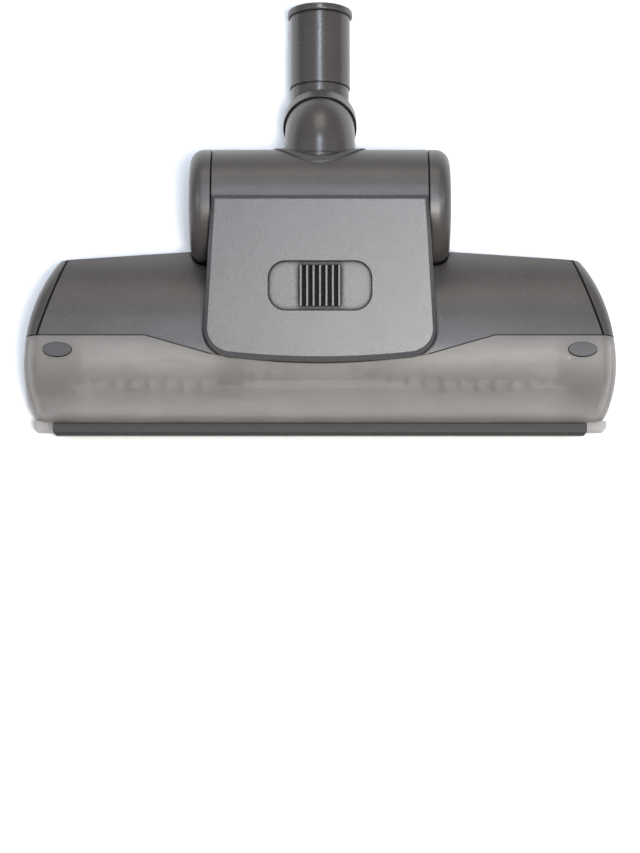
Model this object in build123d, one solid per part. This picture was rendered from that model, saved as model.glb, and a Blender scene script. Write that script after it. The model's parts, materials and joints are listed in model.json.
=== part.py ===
from build123d import *
import math
import os

# Turbine-driven floor brush head for a vacuum cleaner, in millimetres.
# X runs across the head, Y back towards the wand, Z up, and the floor is Z = 0.
# The barrel axis is modelled at Y = 0 and the whole head is moved to its origin at the end.

# Walls and clearances
WALL = 2.4
SEAM = 0.1            # between fixed pieces
RUN_GAP = 0.3         # between moulded pieces that move
PIN_GAP = 0.06        # radial, wheel or shaft on its pin or bush
CUT = 1.0             # how far a cutter passes the face it opens
FREE = 60.0           # reach of a cutter that only has to clear the body

# Hood over the brush
HEAD_HALF = 168.0     # half of the widest point
HEAD_WIDEST_Y = -96.0
HOOD_REAR_Y = -23.0
HOOD_REAR_TOP_Z = 22.0
HOOD_CROWN_Y = -80.0
HOOD_CROWN_Z = 50.0
HOOD_FRONT_Y = -121.7
HOOD_NOSE_Z = 14.0
HOOD_REAR_INSET = 17.5  # from the widest point to the rear corner
HOOD_REAR_HALF = HEAD_HALF - HOOD_REAR_INSET
HOOD_REAR_CORNER_Y = -30.0
END_NOSE = 4.6        # how far the ends come in at the nose
END_ROUND = 9.0       # rounding of the hood's top into its ends
END_BAND = 7.2        # from the end to the line that sets off its band
END_LINE_W = 0.7
END_LINE_D = 0.5

# Barrel that houses the turbine
SOLE_Z = 4.5
BARREL_R = 32.5
BARREL_HALF = 74.0
BARREL_DOME = 8.0
BARREL_GROOVE_X = 61.0
GROOVE = 0.9
AXIS_Z = SOLE_Z + BARREL_R

# Split between the shells
HOOD_SPLIT_Z = 12.0
BARREL_SPLIT_LAP = 3.0
BARREL_SPLIT_Y = HOOD_REAR_Y - BARREL_SPLIT_LAP

# Top cover plate and the bridge of the shell that carries it
COVER_REAR_Y = -2.0
COVER_RISE = 2.5      # cover's rear edge above the barrel
COVER_REAR_Z = AXIS_Z + BARREL_R + COVER_RISE
COVER_FRONT_Y = -93.0
COVER_FALL = 17.0     # from the cover's rear edge to its front
COVER_FRONT_Z = COVER_REAR_Z - COVER_FALL
COVER_REAR_HALF = 61.0
COVER_FRONT_HALF = 65.5
COVER_CORNER_R = 16.0
COVER_BOW = 2.5
COVER_T = 4.0
COVER_BEVEL = 2.2
BRIDGE_HALF = 58.0
BRIDGE_FRONT_Y = -87.0

# Air slider in the cover
SLIDER_Y = -51.8
SLIDER_OPENING_L = 58.5
SLIDER_OPENING_W = 28.0
SLIDER_CORNER_R = 10.0
SLIDER_TRAVEL = 11.5  # each way from the middle
SLIDER_SKIN = 1.4     # cover left above the sliding plate
SLIDER_LAP = 1.5      # plate hidden behind the opening's edge
SLIDER_PLATE_T = 1.8
SLIDER_RIBS = 7
SLIDER_RIB_PITCH = 3.6
SLIDER_RIB_T = 1.2
SLIDER_RIB_L = 23.0
SLIDER_RIB_PROUD = 0.8
SLIDER_GROOVE_D = 1.0

# Window, its buttons and the bumper
WINDOW_SIDE_Y = -77.8
WINDOW_MID_Y = -93.5
WINDOW_KNEE_X = 62.0
WINDOW_KNEE_Y = -88.3
WINDOW_STRAIGHT_X = 99.0
WINDOW_LIP_INSET = 27.0
WINDOW_LIP_HALF = HEAD_HALF - WINDOW_LIP_INSET
BUTTON_INSET = 20.0
BUTTON_X = HEAD_HALF - BUTTON_INSET
BUTTON_Y = -85.8
BUTTON_L = 16.0
BUTTON_W = 8.0
BUTTON_PROUD = 1.4
BUTTON_FLANGE = 1.2
BUTTON_FLANGE_T = 1.4
BUMPER_INSET = 14.5
BUMPER_HALF = HEAD_HALF - BUMPER_INSET
BUMPER_T = 7.0
BUMPER_ROUND = 2.5
BUMPER_FOOT_Z = 5.5
BUMPER_H = 8.0
NOSE_INSET = 3.4
NOSE_HALF = HEAD_HALF - NOSE_INSET
NOSE_T = 5.0          # how far the window's clear corners stand out beside the bumper
NOSE_ROUND = 3.0
NOSE_WALL = 1.0       # front wall of those corners

# End caps of the hood
CAP_REAR_W = 25.0     # measured from the head's widest point
CAP_REAR_X = HEAD_HALF - CAP_REAR_W
CAP_FRONT_W = 8.0
CAP_FRONT_X = HEAD_HALF - CAP_FRONT_W

# Brush chamber in the sole
CHAMBER_FRONT_Y = -101.0
CHAMBER_REAR_Y = -67.0
CHAMBER_INSET = 24.0
CHAMBER_HALF = HEAD_HALF - CHAMBER_INSET
CHAMBER_WALL_Z = 24.0
CHAMBER_WALL_BACK = 3.5  # chamber wall behind the mouth's rear edge

# Brush, on its own axis
BRUSH_Y = -85.0
BRUSH_Z = 21.0
BLOCK_GAP = 0.6       # between an end block and the chamber
BLOCK_INNER_X = CHAMBER_HALF + BLOCK_GAP
BLOCK_INSET = 9.5
BLOCK_OUTER_X = HEAD_HALF - BLOCK_INSET
BLOCK_TOP_R = 13.0
FLANGE_R = 16.0
FLANGE_T = 5.0
CORE_END_GAP = 3.6    # between a brush flange and its end block
CORE_R = 13.0
CORE_SPIGOT_R = 10.0
CORE_HALF = BLOCK_INNER_X - CORE_END_GAP - FLANGE_T
TUFT_TIP_R = 20.3
TUFT_R = 1.3
TUFT_ROWS = 2
TUFTS_PER_HALF = 13
TUFT_FIRST_X = 9.0
TUFT_END_INSET = 6.0
TUFT_LAST_X = CORE_HALF - TUFT_END_INSET
TUFT_TWIST = 115.0    # degrees from the middle of the brush to its end
TUFT_START = 205.0    # degrees, where the middle of the first row stands
SHAFT_R = 3.0
SHAFT_SET_BACK = 1.5
SHAFT_HALF = BLOCK_OUTER_X - SHAFT_SET_BACK
BEARING_R = 8.0

# Belt drive and turbine
BELT_X = -51.0
BELT_W = 6.0
BELT_T = 1.4
BELT_SLOT_GAP = 3.0   # beside the belt where it passes the chamber wall
PULLEY_R = 14.2
PULLEY_W = 14.0
PULLEY_RIM_R = 17.0
PINION_R = 6.0
PINION_RIM_R = 8.5
PINION_W = 9.0
TURBINE_Y = -8.0
TURBINE_R = 20.0
TURBINE_HALF = 30.0
TURBINE_HUB_R = 6.0
TURBINE_BLADES = 12
BLADE_T = 1.3
BLADE_CURVE_R = 14.0
BLADE_SET_BACK = 0.5  # blade tips inside the middle disc's rim
TURBINE_SHAFT_R = 2.5
BULKHEAD_X = 42.5
BULKHEAD_T = 2.6
BUSH_R = 5.0

# Sole fittings
LIP_BAR_W = 8.6
LIP_BAR_DROP = 2.2
LIP_BAR_INSET = 19.0
LIP_BAR_HALF = HEAD_HALF - LIP_BAR_INSET
FLAT_STRIP_REAR_Y = -51.5
FLAT_STRIP_T = 0.8
THIN_STRIP_W = 3.2
THIN_STRIP_T = 1.5
THIN_STRIP_TABS = 9
STRIP_GAP = 0.6
SIDE_RAIL_W = 6.5     # along the sole's edge, beside the strips
SIDE_RAIL_ROOT_W = 11.0
SIDE_RAIL_DROP = 1.7
SIDE_RAIL_REAR_Y = -41.0
SCREW_R = 1.8
SCREW_HEAD_R = 3.6
SCREW_HEAD_T = 2.2
SCREW_WELL_R = 4.5
SCREW_BOSS_R = 6.0
SCREW_L = 14.0
SCREW_CROSS_L = 4.0
SCREW_CROSS_W = 1.2
SCREW_CROSS_D = 1.0
HOOD_SCREW_X = 99.0
HOOD_SCREW_Y = -33.0
BARREL_SCREW_X = 40.0
BARREL_SCREW_Y = 20.0

# Clean-out door and its latches
DOOR_HALF = 42.0
DOOR_FRONT_Y = -44.0
DOOR_REAR_Y = -4.0
DOOR_T = 2.4
DOOR_LEDGE = 3.0
PAD_FLOOR = 3.0       # thickness of the sole pad above the door and latches
PAD_DEPTH = 1.0
PAD_MID_HALF = 9.2
PAD_SIDE_W = 11.9
PAD_GAP = 1.5
PAD_FRONT_EDGE = 2.0
PAD_REAR_EDGE = 4.0
LATCH_INNER_X = 29.0
LATCH_OUTER_X = 61.0
LATCH_REAR_Y = -30.0
LATCH_TRAVEL = 4.0
LATCH_TONGUE = 2.2
LATCH_TONGUE_T = 1.0
LATCH_HOLE_EDGE = 3.0
LATCH_HOLE_L = 7.0
LATCH_HOLE_W = 5.0
LATCH_GROOVES = 3
LATCH_GROOVE_W = 1.2
LATCH_GROOVE_PITCH = 2.4
LATCH_GROOVE_EDGE = 2.0

# Wheels
REAR_WHEEL_X = 56.5
REAR_WHEEL_Y = 12.0
REAR_WHEEL_R = 12.5
REAR_WHEEL_W = 11.0
FRONT_WHEEL_INSET = 13.0
FRONT_WHEEL_X = HEAD_HALF - FRONT_WHEEL_INSET
FRONT_WHEEL_Y = -112.2
FRONT_WHEEL_R = 6.5
FRONT_WHEEL_W = 11.0
AXLE_R = 1.5
AXLE_REACH = 10.0     # half length of an axle pin
POCKET_SIDE = 0.8
POCKET_ROUND = 0.8
POCKET_WALL = 1.8
TREAD_BEVEL = 1.2

# Swivel neck and wand tube
NECK_RIM = 0.8
NECK_RIM_R = 26.5
NECK_ROOT_R = 22.5
NECK_ROOT_L = 9.0     # how far the thick root comes out of its seat
NECK_R = 20.1
NECK_BORE_R = 16.5
NECK_FLANGE_R = 24.0
NECK_FLANGE_T = 2.4
NECK_SEAL_T = 1.2
NECK_SEAT_DEPTH = 15.0  # below the barrel's skin
NECK_SEAT_Y = BARREL_R - NECK_SEAT_DEPTH
NECK_REACH = 9.0      # from the barrel's skin to the elbow's corner
ELBOW_Y = BARREL_R + NECK_REACH
ELBOW_BEND_R = 22.0
ELBOW_ANGLE = 45.0
NECK_END = 0.5        # straight end of the neck past its bend
SPIGOT_R = 18.2
SPIGOT_ROOT = 2.0     # spigot sunk into the neck
SPIGOT_GAP = 1.0      # between the spigot's end and the collar's floor
COLLAR_R = 21.3
COLLAR_L = 7.4
TUBE_DROP = 17.5
TUBE_BEND_R = 18.0
TUBE_R = 16.9
TUBE_END_R = 17.6
TUBE_WALL = 1.8
SOCKET_R = 16.0
SOCKET_L = 35.0
SOCKET_LAP = 12.0     # thicker end of the tube ahead of the socket
LIP_R = 19.15
LIP_L = 4.0
TUBE_L = 80.5         # from the elbow's corner to the tube's open end
TUBE_END_Y = ELBOW_Y + TUBE_L


def plate(points, z0, z1):
    """Plan outline, as points of its right half from back to front, between two heights."""
    left = [(-x, y) for x, y in reversed(points)]
    outline = make_face(Polyline(*points, *left, close=True))
    return Pos(0, 0, z0) * extrude(outline, z1 - z0)


def block(x0, x1, y0, y1, z0, z1):
    """Box between two corners."""
    centre = ((x0 + x1) / 2, (y0 + y1) / 2, (z0 + z1) / 2)
    return Pos(*centre) * Box(abs(x1 - x0), abs(y1 - y0), abs(z1 - z0))


def rod_x(radius, x0, x1, y, z):
    """Cylinder along X."""
    return Pos((x0 + x1) / 2, y, z) * Rot(0, 90, 0) * Cylinder(radius, abs(x1 - x0))


def rod_y(radius, y0, y1, z):
    """Cylinder along Y on the middle plane."""
    return Pos(0, (y0 + y1) / 2, z) * Rot(90, 0, 0) * Cylinder(radius, abs(y1 - y0))


def rod_z(radius, x, y, z0, z1):
    """Upright cylinder."""
    return Pos(x, y, (z0 + z1) / 2) * Cylinder(radius, abs(z1 - z0))


def both_sides(piece):
    """A piece on the right and its mirror on the left."""
    return piece + mirror(piece, about=Plane.YZ)


def grown(face, amount):
    """Flat outline moved out or in by an amount, with sharp corners."""
    return offset(face, amount, kind=Kind.INTERSECTION) if amount else face


def hood_plan():
    """Outline of the hood from above: swept-back rear edges and ends that bow out."""
    slope = (HOOD_REAR_CORNER_Y - HOOD_REAR_Y) / (HOOD_REAR_HALF - BARREL_HALF)
    rear_mid = (0, HOOD_REAR_Y - slope * BARREL_HALF)
    rear = (HOOD_REAR_HALF, HOOD_REAR_CORNER_Y)
    widest = (HEAD_HALF, HEAD_WIDEST_Y)
    nose = (HEAD_HALF - END_NOSE, HOOD_FRONT_Y)
    front = (HEAD_HALF - END_NOSE, HOOD_FRONT_Y - WALL)
    right = [
        Line(rear_mid, rear),
        TangentArc(widest, rear, tangent=(0, 1)),
        TangentArc(widest, nose, tangent=(0, -1)),
        Line(nose, front),
    ]
    left = [mirror(edge, about=Plane.YZ) for edge in right]
    return make_face([*right, *left, Line(front, (-front[0], front[1]))])


def hood(inset):
    """Hood over the brush: side profile and plan outline moved in by inset, rounded at the ends."""
    crown = (HOOD_CROWN_Y, HOOD_CROWN_Z)
    rear_foot = (HOOD_REAR_Y, SOLE_Z)
    rear_top = (HOOD_REAR_Y, HOOD_REAR_TOP_Z)
    nose = (HOOD_FRONT_Y, HOOD_NOSE_Z)
    front_foot = (HOOD_FRONT_Y, SOLE_Z)
    side = make_face([
        Line(front_foot, rear_foot),
        Line(rear_foot, rear_top),
        TangentArc(crown, rear_top, tangent=(1, 0)),
        TangentArc(crown, nose, tangent=(-1, 0)),
        Line(nose, front_foot),
    ])
    along_x = extrude(Plane.YZ * grown(side, -inset), HEAD_HALF + FREE, both=True)
    along_z = extrude(grown(hood_plan(), -inset), AXIS_Z + FREE)
    sharp = along_x & along_z
    if inset < 0:
        return sharp  # only cuts and limits away from the ends are grown past the skin
    top = sharp.edges().filter_by(lambda edge: on_hood_end(edge, inset))
    return fillet(top, END_ROUND - inset)


def on_hood_end(edge, inset):
    """Whether an edge lies where the hood's top meets one of its ends."""
    box = edge.bounding_box()
    high = box.min.Z > HOOD_NOSE_Z - inset - CUT
    outside = min(abs(box.min.X), abs(box.max.X)) > HOOD_REAR_HALF - inset - CUT
    return high and outside and box.size.Y > CUT


def barrel(inset):
    """Turbine barrel with domed ends."""
    drum = rod_x(BARREL_R - inset, inset - BARREL_HALF, BARREL_HALF - inset, 0, AXIS_Z)
    return fillet(drum.edges().filter_by(GeomType.CIRCLE), BARREL_DOME - inset)


def cover_z(y):
    """Height of the cover's flat top at a distance Y."""
    share = (COVER_REAR_Y - y) / (COVER_REAR_Y - COVER_FRONT_Y)
    return COVER_REAR_Z + share * (COVER_FRONT_Z - COVER_REAR_Z)


def bridge(inset):
    """Sloping middle of the body under the cover, between barrel and hood."""
    profile = make_face(Polyline(
        (COVER_REAR_Y, cover_z(COVER_REAR_Y) - COVER_T),
        (BRIDGE_FRONT_Y, cover_z(BRIDGE_FRONT_Y) - COVER_T),
        (BRIDGE_FRONT_Y, SOLE_Z),
        (COVER_REAR_Y, SOLE_Z),
        close=True,
    ))
    return extrude(Plane.YZ * grown(profile, -inset), BRIDGE_HALF - inset, both=True)


def body(inset):
    """Whole closed body: hood, barrel and bridge."""
    return hood(inset) + barrel(inset) + bridge(inset)


OUTER = body(0)
SHELL = OUTER - body(WALL)


def lower_zone(grow):
    """Everything that belongs to the lower shell: the sole and the barrel's lower half."""
    reach = HEAD_HALF + FREE
    sole = block(-reach, reach, HOOD_FRONT_Y - FREE, BARREL_R + FREE, -FREE, HOOD_SPLIT_Z + grow)
    half = BARREL_HALF + CUT + grow
    return sole + block(-half, half, BARREL_SPLIT_Y - grow, BARREL_R + FREE, -FREE, AXIS_Z + grow)


def window_zone(grow):
    """Front of the hood, ahead of the window's curved rear edge."""
    reach = HEAD_HALF + FREE
    front = HOOD_FRONT_Y - FREE
    side_y = WINDOW_SIDE_Y + grow
    knee = (WINDOW_KNEE_X, WINDOW_KNEE_Y + grow)
    straight = (WINDOW_STRAIGHT_X, side_y)
    edge = [
        ThreePointArc((-knee[0], knee[1]), (0, WINDOW_MID_Y + grow), knee),
        Line(knee, straight),
        Line(straight, (reach, side_y)),
        Line((reach, side_y), (reach, front)),
        Line((reach, front), (-reach, front)),
        Line((-reach, front), (-reach, side_y)),
        Line((-reach, side_y), (-straight[0], straight[1])),
        Line((-straight[0], straight[1]), (-knee[0], knee[1])),
    ]
    top = Pos(0, 0, HOOD_SPLIT_Z - grow) * extrude(make_face(edge), FREE)
    half = WINDOW_LIP_HALF + grow
    ramp = block(-half, half, front, CHAMBER_FRONT_Y + grow, -FREE, HOOD_SPLIT_Z)
    corner = block(BUMPER_HALF - grow, reach, front, HOOD_FRONT_Y + NOSE_WALL + grow, -FREE, HOOD_SPLIT_Z)
    return top + ramp + both_sides(corner)


def cap_zone(grow):
    """Right-hand end of the hood, behind the window."""
    reach = HEAD_HALF + FREE
    slope = (CAP_FRONT_X - CAP_REAR_X) / (HOOD_REAR_Y - WINDOW_SIDE_Y)
    rear_x = CAP_REAR_X - slope * FREE
    outline = make_face(Polyline(
        (rear_x - grow, HOOD_REAR_Y + FREE),
        (CAP_FRONT_X - grow, WINDOW_SIDE_Y + SEAM - grow),
        (reach, WINDOW_SIDE_Y + SEAM - grow),
        (reach, HOOD_REAR_Y + FREE),
        close=True,
    ))
    low = HOOD_SPLIT_Z + SEAM - grow
    return Pos(0, 0, low) * extrude(outline, FREE + AXIS_Z)


def neck_socket():
    """Raised rim round the neck hole, seated on a flat inner ring."""
    ring = rod_y(NECK_RIM_R, NECK_SEAT_Y, BARREL_R + FREE, AXIS_Z)
    skin = rod_x(BARREL_R + NECK_RIM, -NECK_RIM_R - CUT, NECK_RIM_R + CUT, 0, AXIS_Z)
    return ring & skin


def neck_bore():
    """Hole that the neck turns in."""
    return rod_y(NECK_ROOT_R + RUN_GAP, 0, BARREL_R + FREE, AXIS_Z)


def barrel_grooves():
    """Shallow line round the barrel that sets off its end discs."""
    x0 = BARREL_GROOVE_X
    line = rod_x(BARREL_R + CUT, x0, x0 + GROOVE, 0, AXIS_Z)
    core = rod_x(BARREL_R - GROOVE, x0 - CUT, x0 + GROOVE + CUT, 0, AXIS_Z)
    return both_sides(line - core)


def screw_places():
    """Where the housing screws stand, as (x, y)."""
    hood = [(side * HOOD_SCREW_X, HOOD_SCREW_Y) for side in (-1, 1)]
    rear = [(side * BARREL_SCREW_X, BARREL_SCREW_Y) for side in (-1, 1)]
    return hood + rear


def screw_seat_z(y):
    """Underside of a screw head: the hood screws sit in the sole, the others up in the barrel."""
    surface = SOLE_Z
    if y > 0:
        surface = AXIS_Z - math.sqrt(BARREL_R ** 2 - y ** 2)
    return surface + SCREW_HEAD_T + WALL / 2


def wheel_places():
    """Right-hand wheels: name, x, y, radius and width."""
    return [
        ("rear", REAR_WHEEL_X, REAR_WHEEL_Y, REAR_WHEEL_R, REAR_WHEEL_W),
        ("front", FRONT_WHEEL_X, FRONT_WHEEL_Y, FRONT_WHEEL_R, FRONT_WHEEL_W),
    ]


def wheel_pocket(x, y, radius, width, extra):
    """Room for a right-hand wheel, open below, grown by extra on every side but the bottom."""
    half = width / 2 + POCKET_SIDE + extra
    reach = radius + POCKET_ROUND + extra
    return block(x - half, x + half, y - reach, y + reach, 0, radius + reach)


def axle(x, y, radius, extra):
    """Steel pin of a right-hand wheel."""
    return rod_x(AXLE_R + extra, x - AXLE_REACH - extra, x + AXLE_REACH + extra, y, radius)


def axle_slot(x, y, radius):
    """Seat of an axle pin, open below so that the pin goes in from under the sole."""
    pin = axle(x, y, radius, SEAM / 2)
    half = AXLE_R + SEAM / 2
    reach = AXLE_REACH + SEAM / 2
    return pin + block(x - reach, x + reach, y - half, y + half, 0, radius)


def side_rail():
    """Raised rail on the sole's right-hand edge, wider where it meets the brush chamber."""
    inner = LIP_BAR_HALF + STRIP_GAP
    wide_y = CHAMBER_REAR_Y + LIP_BAR_W
    outline = make_face(Polyline(
        (inner, CHAMBER_REAR_Y),
        (inner + SIDE_RAIL_ROOT_W, CHAMBER_REAR_Y),
        (inner + SIDE_RAIL_W, wide_y),
        (inner + SIDE_RAIL_W, SIDE_RAIL_REAR_Y),
        (inner, SIDE_RAIL_REAR_Y),
        close=True,
    ))
    rail = Pos(0, 0, SOLE_Z - SIDE_RAIL_DROP) * extrude(outline, SIDE_RAIL_DROP + WALL)
    return rail & Pos(0, 0, -SIDE_RAIL_DROP) * extrude(hood_plan(), AXIS_Z)


def door_outline(grow, z0, z1):
    """Clean-out door with its front corners cut away for the latches."""
    return plate([
        (DOOR_HALF + grow, DOOR_REAR_Y + grow),
        (DOOR_HALF + grow, LATCH_REAR_Y + RUN_GAP - grow),
        (LATCH_INNER_X - RUN_GAP + grow, LATCH_REAR_Y + RUN_GAP - grow),
        (LATCH_INNER_X - RUN_GAP + grow, DOOR_FRONT_Y - grow),
    ], z0, z1)


def latch_recess():
    """Room in the sole for the right-hand latch and its travel."""
    outer = LATCH_OUTER_X + LATCH_TRAVEL + RUN_GAP
    return block(LATCH_INNER_X - RUN_GAP - SEAM, outer, DOOR_FRONT_Y - RUN_GAP, LATCH_REAR_Y + RUN_GAP,
                 0, SOLE_Z + DOOR_T + RUN_GAP)


def upper_shell():
    low = lower_zone(SEAM)
    caps = both_sides(cap_zone(SEAM))
    shell = SHELL - low - window_zone(SEAM) - caps
    shell += (neck_socket() - low)
    return shell - neck_bore() - barrel_grooves()


def lower_shell():
    zone = lower_zone(0)
    shell = (SHELL & zone) + (neck_socket() & zone)
    pad_top = SOLE_Z + DOOR_T + PAD_FLOOR
    pad_half = LATCH_OUTER_X + LATCH_TRAVEL + WALL
    shell += block(-pad_half, pad_half, DOOR_FRONT_Y - WALL, DOOR_REAR_Y + WALL, SOLE_Z, pad_top)
    wall_y = CHAMBER_REAR_Y + CHAMBER_WALL_BACK
    shell += block(-CHAMBER_HALF, CHAMBER_HALF, wall_y, wall_y + WALL, SOLE_Z, CHAMBER_WALL_Z)
    inside = body(WALL + SEAM)
    for x, y in screw_places():
        boss = rod_z(SCREW_BOSS_R, x, y, SOLE_Z, screw_seat_z(y) + WALL)
        shell += boss & body(WALL / 2)
    for name, x, y, radius, width in wheel_places():
        housing = wheel_pocket(x, y, radius, width, POCKET_WALL)
        housing = both_sides(housing & OUTER & block(0, HEAD_HALF, y - FREE, y + FREE, SOLE_Z, AXIS_Z))
        shell += (housing & zone) + (housing & inside)
    shell -= window_zone(SEAM)
    shell += both_sides(side_rail())
    for name, x, y, radius, width in wheel_places():
        shell -= both_sides(wheel_pocket(x, y, radius, width, 0))
        shell -= both_sides(axle_slot(x, y, radius))
    mouth_half = BLOCK_OUTER_X + SEAM
    shell -= block(-mouth_half, mouth_half, CHAMBER_FRONT_Y, CHAMBER_REAR_Y, 0, HOOD_SPLIT_Z)
    slot_half = BELT_W / 2 + BELT_SLOT_GAP
    shell -= block(BELT_X - slot_half, BELT_X + slot_half, wall_y - CUT, wall_y + WALL + CUT,
                   SOLE_Z + WALL, CHAMBER_WALL_Z + CUT)
    hole_half = LATCH_INNER_X - DOOR_LEDGE
    hole_front = DOOR_FRONT_Y + DOOR_LEDGE
    hole_rear = DOOR_REAR_Y - DOOR_LEDGE
    shell -= block(-hole_half, hole_half, hole_front, hole_rear, 0, pad_top + CUT)
    shell -= door_outline(SEAM, 0, SOLE_Z + DOOR_T + SEAM)
    shell -= both_sides(latch_recess())
    for x, y in screw_places():
        shell -= rod_z(SCREW_WELL_R, x, y, 0, screw_seat_z(y))
        shell -= rod_z(SCREW_R + SEAM, x, y, 0, AXIS_Z)
    return shell - neck_bore() - barrel_grooves()


def end_cap():
    """Right-hand end band of the hood."""
    return (SHELL & cap_zone(0)) - lower_zone(SEAM)


def end_line():
    """Fine line in the hood's skin that sets off the band at each end."""
    outer = grown(hood_plan(), -END_BAND)
    ring = extrude(outer - grown(hood_plan(), -END_BAND - END_LINE_W), AXIS_Z + FREE)
    return (hood(-CUT) - hood(END_LINE_D)) & ring & both_sides(cap_side())


def cap_side():
    """Right-hand end of the hood, ahead of the window's rear edge."""
    return block(BUTTON_X, HEAD_HALF + FREE, HOOD_FRONT_Y + WALL, WINDOW_SIDE_Y + CUT, HOOD_NOSE_Z, FREE)


def nose_corner():
    """Clear right-hand corner of the window that stands out beside the bumper."""
    corner = block(BUMPER_HALF + SEAM, NOSE_HALF, HOOD_FRONT_Y - NOSE_T, HOOD_FRONT_Y + NOSE_WALL,
                   BUMPER_FOOT_Z, BUMPER_FOOT_Z + BUMPER_H)
    outer = corner.edges().filter_by(Axis.Z).group_by(Axis.X)[-1].sort_by(Axis.Y)[0]
    return fillet(outer, NOSE_ROUND)


def front_window():
    """Smoked window: hood front and the ramp under it, with the button holes."""
    window = (SHELL & window_zone(0)) + both_sides(nose_corner())
    return window - end_line() - both_sides(button_oval(RUN_GAP))


def top_cover():
    half_front = COVER_FRONT_HALF - COVER_CORNER_R
    front = COVER_FRONT_Y + COVER_BOW
    corner_y = front + COVER_CORNER_R
    right = (COVER_FRONT_HALF, corner_y)
    left = (-COVER_FRONT_HALF, corner_y)
    outline = make_face([
        Line((-COVER_REAR_HALF, COVER_REAR_Y), (COVER_REAR_HALF, COVER_REAR_Y)),
        Line((COVER_REAR_HALF, COVER_REAR_Y), right),
        RadiusArc(right, (half_front, front), COVER_CORNER_R),
        ThreePointArc((half_front, front), (0, COVER_FRONT_Y), (-half_front, front)),
        RadiusArc((-half_front, front), left, COVER_CORNER_R),
        Line(left, (-COVER_REAR_HALF, COVER_REAR_Y)),
    ])
    reach = COVER_FRONT_HALF + FREE
    y0 = COVER_REAR_Y + FREE
    y1 = COVER_FRONT_Y - FREE
    under = extrude(Plane.YZ * make_face(Polyline(
        (y0, cover_z(y0)), (y1, cover_z(y1)), (y1, 0), (y0, 0), close=True)), reach, both=True)
    cover = Pos(0, 0, AXIS_Z) * extrude(outline, BARREL_R + FREE) & under
    top = cover.faces().sort_by(Axis.Z)[-1]
    cover = chamfer(top.edges(), COVER_BEVEL)
    cover -= body(-SEAM)
    opening = RectangleRounded(SLIDER_OPENING_L, SLIDER_OPENING_W, SLIDER_CORNER_R)
    cover -= extrude(slider_plane() * opening, -COVER_T)
    length, width = slider_plate_size()
    room = Rectangle(length + 2 * (SLIDER_TRAVEL + RUN_GAP), width + 2 * RUN_GAP)
    return cover - extrude(slider_plane().offset(-SLIDER_SKIN) * room, -COVER_T)


def slider_plane():
    """Flat top of the cover at the slider's middle."""
    tilt = math.degrees(math.atan2(COVER_REAR_Z - COVER_FRONT_Z, COVER_REAR_Y - COVER_FRONT_Y))
    return Plane(Location((0, SLIDER_Y, cover_z(SLIDER_Y)), (tilt, 0, 0)))


def slider_plate_size():
    """Length and width of the sliding plate, which fills the opening wherever it stands."""
    return (SLIDER_OPENING_L + 2 * (SLIDER_TRAVEL + SLIDER_LAP), SLIDER_OPENING_W + 2 * SLIDER_LAP)


def air_slider():
    """Plate that slides under the cover's skin, with upright grip ribs in the opening."""
    place = slider_plane().offset(-SLIDER_SKIN - RUN_GAP)
    slider = extrude(place * Rectangle(*slider_plate_size()), -SLIDER_PLATE_T)
    rise = SLIDER_SKIN + RUN_GAP + SLIDER_RIB_PROUD
    groove_w = SLIDER_RIB_PITCH - SLIDER_RIB_T
    first = -(SLIDER_RIBS - 1) * SLIDER_RIB_PITCH / 2
    for i in range(SLIDER_RIBS):
        x = first + i * SLIDER_RIB_PITCH
        slider += extrude(place * Pos(x, 0) * Rectangle(SLIDER_RIB_T, SLIDER_RIB_L), rise)
    for i in range(SLIDER_RIBS - 1):
        x = first + (i + 0.5) * SLIDER_RIB_PITCH
        slider -= extrude(place * Pos(x, 0) * Rectangle(groove_w, SLIDER_RIB_L), -SLIDER_GROOVE_D)
    return slider


def window_button():
    """Right-hand oval button that frees the window, with a flange behind the window's wall."""
    under = WALL + RUN_GAP
    cap = button_oval(0) & (hood(-BUTTON_PROUD) - hood(under + BUTTON_FLANGE_T))
    flange = button_oval(BUTTON_FLANGE) & (hood(under) - hood(under + BUTTON_FLANGE_T))
    return cap + flange


def button_oval(grow):
    """Upright column with the right-hand button's outline, grown all round."""
    outline = Pos(BUTTON_X, BUTTON_Y) * Ellipse(BUTTON_L / 2 + grow, BUTTON_W / 2 + grow)
    return Pos(0, 0, BRUSH_Z) * extrude(outline, FREE)


def front_bumper():
    """Rubber strip along the nose of the window."""
    strip = block(-BUMPER_HALF, BUMPER_HALF, HOOD_FRONT_Y - SEAM - BUMPER_T, HOOD_FRONT_Y - SEAM,
                  BUMPER_FOOT_Z, BUMPER_FOOT_Z + BUMPER_H)
    front = strip.faces().sort_by(Axis.Y)[0]
    return fillet(front.edges(), BUMPER_ROUND)


def lip_bar():
    """Rounded bar behind the brush chamber."""
    y = CHAMBER_REAR_Y + LIP_BAR_W / 2
    top = SOLE_Z - SEAM / 2
    half = LIP_BAR_W / 2
    section = make_face([
        Line((y - half, top), (y + half, top)),
        ThreePointArc((y + half, top), (y, top - LIP_BAR_DROP), (y - half, top)),
    ])
    return extrude(Plane.YZ * section, LIP_BAR_HALF, both=True)


def flat_strip():
    """Flat lint strip behind the bar."""
    y0 = CHAMBER_REAR_Y + LIP_BAR_W + STRIP_GAP
    top = SOLE_Z - SEAM / 2
    return block(-LIP_BAR_HALF, LIP_BAR_HALF, y0, FLAT_STRIP_REAR_Y, top - FLAT_STRIP_T, top)


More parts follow.
